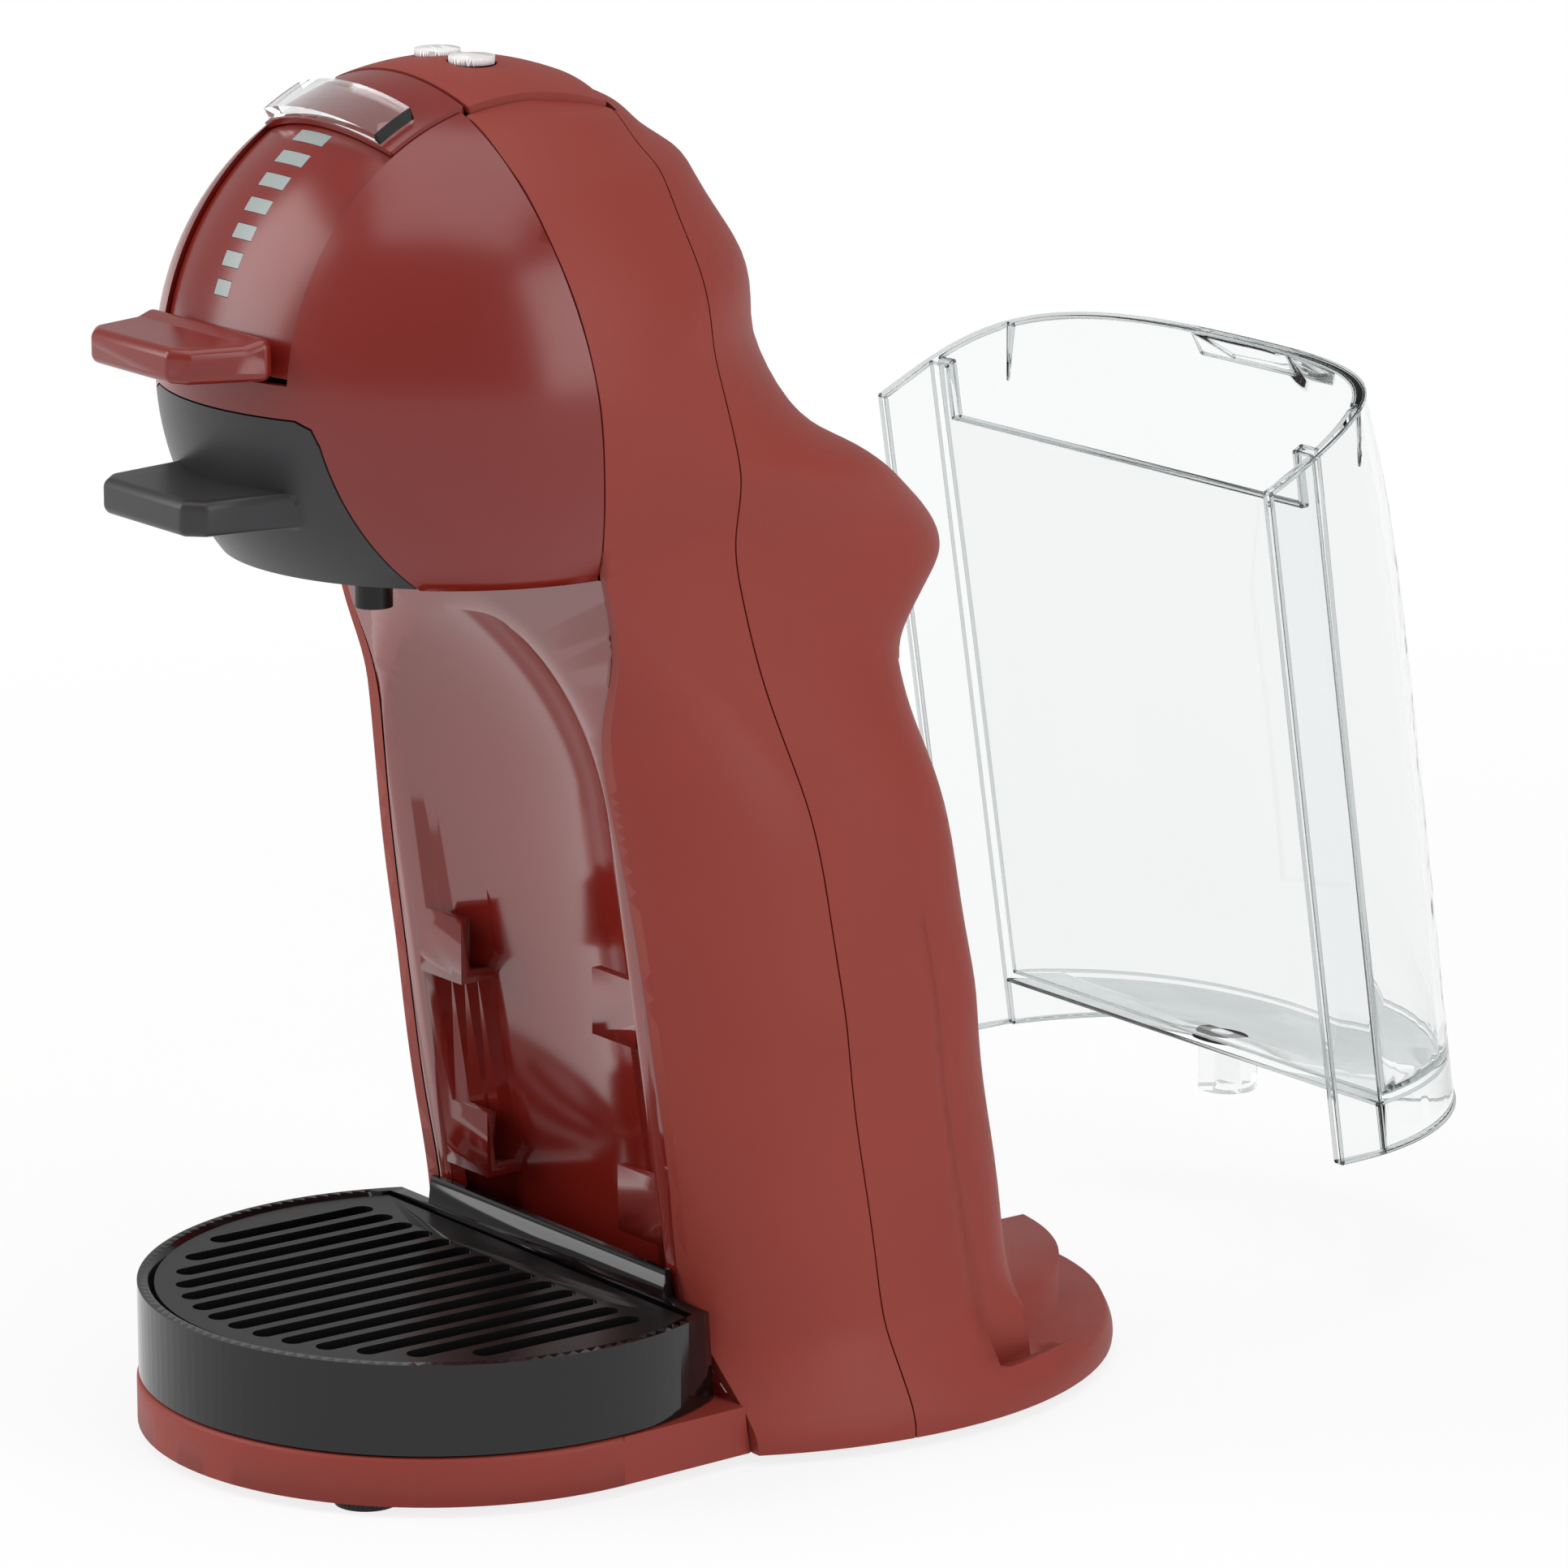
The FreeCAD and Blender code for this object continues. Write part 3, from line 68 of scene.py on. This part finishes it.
def linear(text):
    """A hex sRGB colour as linear red, green, blue and full alpha."""
    channels = [int(text[k : k + 2], 16) / 255 for k in (1, 3, 5)]
    curve = [c / 12.92 if c <= 0.04045 else ((c + 0.055) / 1.055) ** 2.4 for c in channels]
    return (*curve, 1.0)


def add(tree, kind, settings=None, inputs=None, links=None):
    """Adds one node with its settings and socket values, fed by the sockets in links."""
    node = tree.nodes.new(kind)
    for key, value in (settings or {}).items():
        setattr(node, key, value)
    for key, value in (inputs or {}).items():
        node.inputs[key].default_value = value
    for key, socket in (links or {}).items():
        tree.links.new(socket, node.inputs[key])
    return node


def start_material(name):
    """A new material with an empty node tree, and its Object coordinates."""
    material = bpy.data.materials.new(name)
    material.use_nodes = True
    tree = material.node_tree
    tree.nodes.clear()
    return material, tree, add(tree, "ShaderNodeTexCoord").outputs["Object"]


def end_material(tree, shader):
    """Sends a shader to the material's surface."""
    add(tree, "ShaderNodeOutputMaterial", None, None, {"Surface": shader.outputs[0]})


def noise(tree, place, size_mm, detail):
    """Noise with features of about that size, as a value from 0 to 1."""
    look = {"Scale": 1.0 / (size_mm * MM), "Detail": detail}
    return add(tree, "ShaderNodeTexNoise", None, look, {"Vector": place}).outputs["Fac"]


def mapped(tree, value, low, high):
    """A value from 0 to 1, spread from low to high."""
    ends = {"To Min": low, "To Max": high}
    return add(tree, "ShaderNodeMapRange", None, ends, {"Value": value}).outputs["Result"]


def two_shades(tree, light, dark, value):
    """A colour that runs from the dark to the light shade as a value runs from 0 to 1."""
    mix = add(tree, "ShaderNodeMix", {"data_type": "RGBA"}, None, {"Factor": value})
    mix.inputs[MIX_COLOUR_A].default_value = linear(dark)
    mix.inputs[MIX_COLOUR_B].default_value = linear(light)
    return mix.outputs[MIX_COLOUR_OUT]


# %% [markdown]
# ## Moulded plastics
# Nearly everything here is moulded ABS. A spark-eroded mould leaves a fine matte grain; a polished mould
# leaves a mirror-like skin with a faint waviness where the plastic shrank. Both are one recipe with a
# different grain size, depth and roughness. The grain is drawn coarser than life so that it shows.

# %% Plastic recipe
drift_mm = 38.0
bump_strength = 0.35


def moulded(name, light, dark, roughness, spread, grain_mm, depth_mm, shine=0.5, ior=1.53):
    """Moulded plastic: colour drifts a little between two shades, roughness varies, grain is a bump."""
    material, tree, place = start_material(name)
    shade = two_shades(tree, light, dark, noise(tree, place, drift_mm, 2.0))
    grain = noise(tree, place, grain_mm, 3.0)
    rough = mapped(tree, grain, roughness - spread, roughness + spread)
    relief = {"Strength": bump_strength, "Distance": depth_mm * MM}
    bump = add(tree, "ShaderNodeBump", None, relief, {"Height": grain})
    skin = add(
        tree, "ShaderNodeBsdfPrincipled", None, {"IOR": ior, "Specular IOR Level": shine},
        {"Base Color": shade, "Roughness": rough, "Normal": bump.outputs["Normal"]},
    )
    end_material(tree, skin)
    return material


matte_red_abs = moulded("matte_red_abs", "#8E352B", "#863229", 0.52, 0.05, 0.9, 0.05, shine=0.3)
gloss_red_abs = moulded("gloss_red_abs", "#7A1D15", "#741A13", 0.24, 0.03, 14.0, 0.02)
panel_red_abs = moulded("panel_red_abs", "#7E2018", "#781D16", 0.13, 0.02, 14.0, 0.02, ior=1.95)
white_abs = moulded("white_abs", "#EFEDEC", "#E6E4E3", 0.28, 0.04, 1.2, 0.02)
window_grey_pc = moulded("window_grey_pc", "#9BA3A1", "#939B99", 0.32, 0.04, 1.0, 0.02)
dark_grey_abs = moulded("dark_grey_abs", "#333335", "#2D2D2F", 0.36, 0.05, 0.8, 0.03, shine=0.35)
gloss_black_abs = moulded("gloss_black_abs", "#0D0D0E", "#0A0A0B", 0.10, 0.02, 12.0, 0.02, shine=0.4)
satin_black_abs = moulded("satin_black_abs", "#131314", "#0F0F10", 0.30, 0.05, 0.9, 0.03, shine=0.3)
black_rubber = moulded("black_rubber", "#222223", "#1B1B1C", 0.75, 0.08, 0.7, 0.06)
green_laminate = moulded("green_laminate", "#1F5A33", "#1A4D2B", 0.40, 0.05, 1.5, 0.02)
blue_sleeve = moulded("blue_sleeve", "#2E3558", "#262C4A", 0.35, 0.05, 1.5, 0.02)
print("plastics made")

# %% [markdown]
# ## Metals and clear plastic
# The thermoblock is cast aluminium, pins and screws are steel and the bushings brass. The tank and the
# slider are clear SAN plastic. The tank's index is set lower than life, which keeps its walls as clear as
# in the photograph; the slider's is closer to life, so that it stands out from the red below it.

# %% Metals
polish_spread = 0.06


def metal(name, light, dark, roughness, grain_mm):
    """Metal with a fine varying polish."""
    material, tree, place = start_material(name)
    grain = noise(tree, place, grain_mm, 4.0)
    shade = two_shades(tree, light, dark, grain)
    rough = mapped(tree, grain, roughness - polish_spread, roughness + polish_spread)
    skin = add(
        tree, "ShaderNodeBsdfPrincipled", None, {"Metallic": 1.0},
        {"Base Color": shade, "Roughness": rough},
    )
    end_material(tree, skin)
    return material


cast_aluminium = metal("cast_aluminium", "#D6D7D9", "#C2C4C7", 0.45, 2.0)
turned_steel = metal("turned_steel", "#C9C9CC", "#B5B5B9", 0.28, 1.0)
plain_brass = metal("plain_brass", "#D8B565", "#C8A355", 0.30, 1.0)

# %% Clear plastic
ripple_mm = 22.0


def clear_plastic(name, tint, roughness, haze, index):
    """Clear moulded plastic with a slightly uneven polish."""
    material, tree, place = start_material(name)
    rough = mapped(tree, noise(tree, place, ripple_mm, 1.0), roughness, roughness + haze)
    skin = add(
        tree, "ShaderNodeBsdfPrincipled", None,
        {"Base Color": linear(tint), "IOR": index, "Transmission Weight": 1.0}, {"Roughness": rough},
    )
    end_material(tree, skin)
    return material


clear_san = clear_plastic("clear_san", "#F9FAFA", 0.0, 0.02, 1.12)
edge_san = clear_plastic("edge_san", "#D6DADA", 0.05, 0.05, 1.3)
slider_san = clear_plastic("slider_san", "#F2F3F3", 0.02, 0.03, 1.45)
print("metals and clear plastic made")

# %% [markdown]
# ## Smoothing the solids
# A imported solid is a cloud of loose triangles. A copy with its doubles merged can be shaded smooth, with
# edges left sharp only where two faces meet at a clear angle, so the curved shells shine like moulded
# ones. The copy rides on the solid's body and stands for it.

# %% Dress the nodes
finish_of_slot = {
    "matte_red": matte_red_abs,
    "gloss_red": gloss_red_abs,
    "white": white_abs,
    "window_grey": window_grey_pc,
    "clear_plastic": clear_san,
    "dark_grey": dark_grey_abs,
    "black_gloss": gloss_black_abs,
    "black_matte": satin_black_abs,
    "rubber": black_rubber,
    "aluminium": cast_aluminium,
    "board": green_laminate,
    "capacitor": blue_sleeve,
    "steel": turned_steel,
    "brass": plain_brass,
}
finish_of_node = {"front_panel": panel_red_abs, "volume_slider": slider_san}
weld = 0.004 * MM
plain_crease = 28.0
crease_of_node = {"front_shell": 34.0, "rear_shell": 34.0, "head_dome": 34.0}


def smoothed_copy(node):
    """A welded copy of a node's mesh, smooth but for its real edges."""
    source = nodes[node]
    bm = bmesh.new()
    bm.from_mesh(source.data)
    bmesh.ops.remove_doubles(bm, verts=bm.verts, dist=weld)
    mesh = bpy.data.meshes.new(node + "_skin")
    bm.to_mesh(mesh)
    bm.free()
    mesh.materials.clear()
    mesh.materials.append(finish_of_node.get(node, finish_of_slot[slot_of_node[node]]))
    for face in mesh.polygons:
        face.use_smooth = True
        face.material_index = 0
    mesh.set_sharp_from_angle(angle=math.radians(crease_of_node.get(node, plain_crease)))
    piece = bpy.data.objects.new(node + "_skin", mesh)
    bpy.context.scene.collection.objects.link(piece)
    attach(piece, body_of_node[node])
    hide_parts(node)
    return piece


skins = {node: smoothed_copy(node) for node in nodes}
print("skins", len(skins), "faces", sum(len(p.data.polygons) for p in skins.values()))

# %% [markdown]
# ## Rounded edges of the tank
# A moulded tank has rounded edges, and against white it is these that draw its outline. The sharp edges
# of the tank's mesh are strung into runs, and a slim bead follows each run as a bevelled curve.

# %% Tank beads
bead_radius = 0.5 * MM
sharp_turn = math.radians(40.0)


def sharp_runs(mesh):
    """The sharp edges of a mesh, strung end to end into runs of points."""
    bm = bmesh.new()
    bm.from_mesh(mesh)
    bm.verts.index_update()
    points = [v.co.copy() for v in bm.verts]
    ends = {}
    for edge in bm.edges:
        if len(edge.link_faces) == 2 and edge.calc_face_angle(0.0) > sharp_turn:
            one, two = (v.index for v in edge.verts)
            ends.setdefault(one, []).append(two)
            ends.setdefault(two, []).append(one)
    bm.free()
    runs = []
    starts = sorted(ends, key=lambda v: (len(ends[v]) == 2, v))
    for start in starts:
        while ends[start]:
            run = [start]
            while ends[run[-1]]:
                here = run[-1]
                following = ends[here].pop(0)
                ends[following].remove(here)
                run.append(following)
                if len(ends[following]) != 1:
                    break
            runs.append([points[v] for v in run])
    return runs


def edge_beads(node, name, material):
    """Slim round beads along the sharp edges of a node's skin."""
    curve = bpy.data.curves.new(name + "_path", "CURVE")
    curve.dimensions = "3D"
    curve.bevel_depth = bead_radius
    curve.bevel_resolution = 2
    curve.use_fill_caps = True
    for run in sharp_runs(skins[node].data):
        line = curve.splines.new("POLY")
        line.points.add(len(run) - 1)
        for point, place in zip(line.points, run):
            point.co = (*place, 1.0)
    path = bpy.data.objects.new(name + "_path", curve)
    bpy.context.scene.collection.objects.link(path)
    graph = bpy.context.evaluated_depsgraph_get()
    mesh = bpy.data.meshes.new_from_object(path.evaluated_get(graph))
    bpy.data.objects.remove(path)
    bpy.data.curves.remove(curve)
    mesh.name = name
    mesh.materials.clear()
    mesh.materials.append(material)
    for face in mesh.polygons:
        face.use_smooth = True
    piece = bpy.data.objects.new(name, mesh)
    piece.matrix_world = skins[node].matrix_world.copy()
    bpy.context.scene.collection.objects.link(piece)
    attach(piece, body_of_node[node])
    return piece


tank_beads = edge_beads("tank_vessel", "tank_beads", edge_san)
print("bead faces", len(tank_beads.data.polygons))

# %% [markdown]
# ## Studio
# A product shot on white: a broad softbox on the left, a second on the right and one overhead. The floor
# reads as white to the camera, in reflections and through the clear plastic, and so does the world to the
# camera and through the plastic. Near the machine the floor still takes its shadow, and further out it
# fades to plain white.

# %% Floor and world
floor_half = 6.0
shadow_reach, white_reach = 0.25, 0.8
glow_near, glow_far = 0.82, 1.0
sky_on_object, sky_to_camera = 0.42, 1.06


def largest(tree, one, two):
    """The larger of two values."""
    return add(tree, "ShaderNodeMath", {"operation": "MAXIMUM"}, None, {0: one, 1: two}).outputs[0]


bm = bmesh.new()
bmesh.ops.create_grid(bm, x_segments=1, y_segments=1, size=floor_half)
floor_mesh = bpy.data.meshes.new("studio_floor")
bm.to_mesh(floor_mesh)
bm.free()
floor = bpy.data.objects.new("studio_floor", floor_mesh)
bpy.context.scene.collection.objects.link(floor)
paper, tree, place = start_material("white_paper")
seen = add(tree, "ShaderNodeLightPath").outputs
sheet_white = add(tree, "ShaderNodeBsdfDiffuse", None, {"Color": linear("#F6F6F6")})
glow = add(tree, "ShaderNodeEmission", None, {"Color": linear("#FFFFFF"), "Strength": 1.0})
direct = largest(tree, seen["Is Camera Ray"], seen["Is Glossy Ray"])
any_ray = largest(tree, direct, seen["Is Transmission Ray"])
distance = add(tree, "ShaderNodeVectorMath", {"operation": "LENGTH"}, None, {0: place})
fade = add(
    tree, "ShaderNodeMapRange", None,
    {"From Min": shadow_reach, "From Max": white_reach, "To Min": glow_near, "To Max": glow_far},
    {"Value": distance.outputs["Value"]},
)
share = add(
    tree, "ShaderNodeMath", {"operation": "MULTIPLY"}, None, {0: any_ray, 1: fade.outputs["Result"]}
)
mixed = add(
    tree, "ShaderNodeMixShader", None, None,
    {0: share.outputs[0], 1: sheet_white.outputs[0], 2: glow.outputs[0]},
)
end_material(tree, mixed)
floor_mesh.materials.append(paper)

world = bpy.data.worlds.new("studio_world")
bpy.context.scene.world = world
world.use_nodes = True
tree = world.node_tree
tree.nodes.clear()
seen = add(tree, "ShaderNodeLightPath").outputs
direct = largest(tree, seen["Is Camera Ray"], seen["Is Transmission Ray"])
strength = mapped(tree, direct, sky_on_object, sky_to_camera)
sky = add(tree, "ShaderNodeBackground", None, {"Color": linear("#FFFFFF")}, {"Strength": strength})
add(tree, "ShaderNodeOutputWorld", None, None, {"Surface": sky.outputs[0]})


# %% Lamps
def softbox(name, place, aim, size, power):
    """A rectangular lamp that faces its aim."""
    lamp = bpy.data.lights.new(name, "AREA")
    lamp.shape = "RECTANGLE"
    lamp.size, lamp.size_y = size
    lamp.energy = power
    box = bpy.data.objects.new(name, lamp)
    box.location = place
    box.rotation_euler = (Vector(aim) - Vector(place)).to_track_quat("-Z", "Y").to_euler()
    bpy.context.scene.collection.objects.link(box)
    return box


middle = (0.0, 0.0, 0.15)
lamps = [
    softbox("left_box", (-0.9, -1.3, 0.9), middle, (1.1, 1.4), 17.0),
    softbox("right_box", (1.6, 0.3, 0.8), middle, (1.0, 1.4), 12.0),
    softbox("top_box", (0.2, -0.2, 1.7), middle, (1.4, 1.4), 11.0),
]

# %% [markdown]
# ## Camera
# The photograph was taken with a long lens from the front right, a little above the machine. The place
# and the lens come from fitting the round base, the tray rim and the head, with the origin of that fit
# at the centre of the tray.

# %% Camera
picture_px = 1932.0
focal_px = 10000.0
sensor_mm = 36.0
grille_front = 62.6 * MM
aim_behind_tray, aim_height = 95.48 * MM, 131.0 * MM
azimuth, elevation = math.radians(53.0), math.radians(13.94)
reach = 1.82348
tray_centre_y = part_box("tray_grille")[0][1] + grille_front
aim = Vector((0.0, tray_centre_y + aim_behind_tray, aim_height))
level = math.cos(elevation)
outward = Vector((math.sin(azimuth) * level, -math.cos(azimuth) * level, math.sin(elevation)))
eye = bpy.data.cameras.new("photo_eye")
eye.sensor_width = sensor_mm
eye.lens = focal_px / picture_px * sensor_mm
camera = bpy.data.objects.new("photo_eye", eye)
camera.location = aim + outward * reach
camera.rotation_euler = (-outward).to_track_quat("-Z", "Y").to_euler()
bpy.context.scene.collection.objects.link(camera)
bpy.context.scene.camera = camera
bpy.context.scene.view_settings.view_transform = "Standard"
print("camera at", [round(v, 3) for v in camera.location], "lens", round(eye.lens, 1))
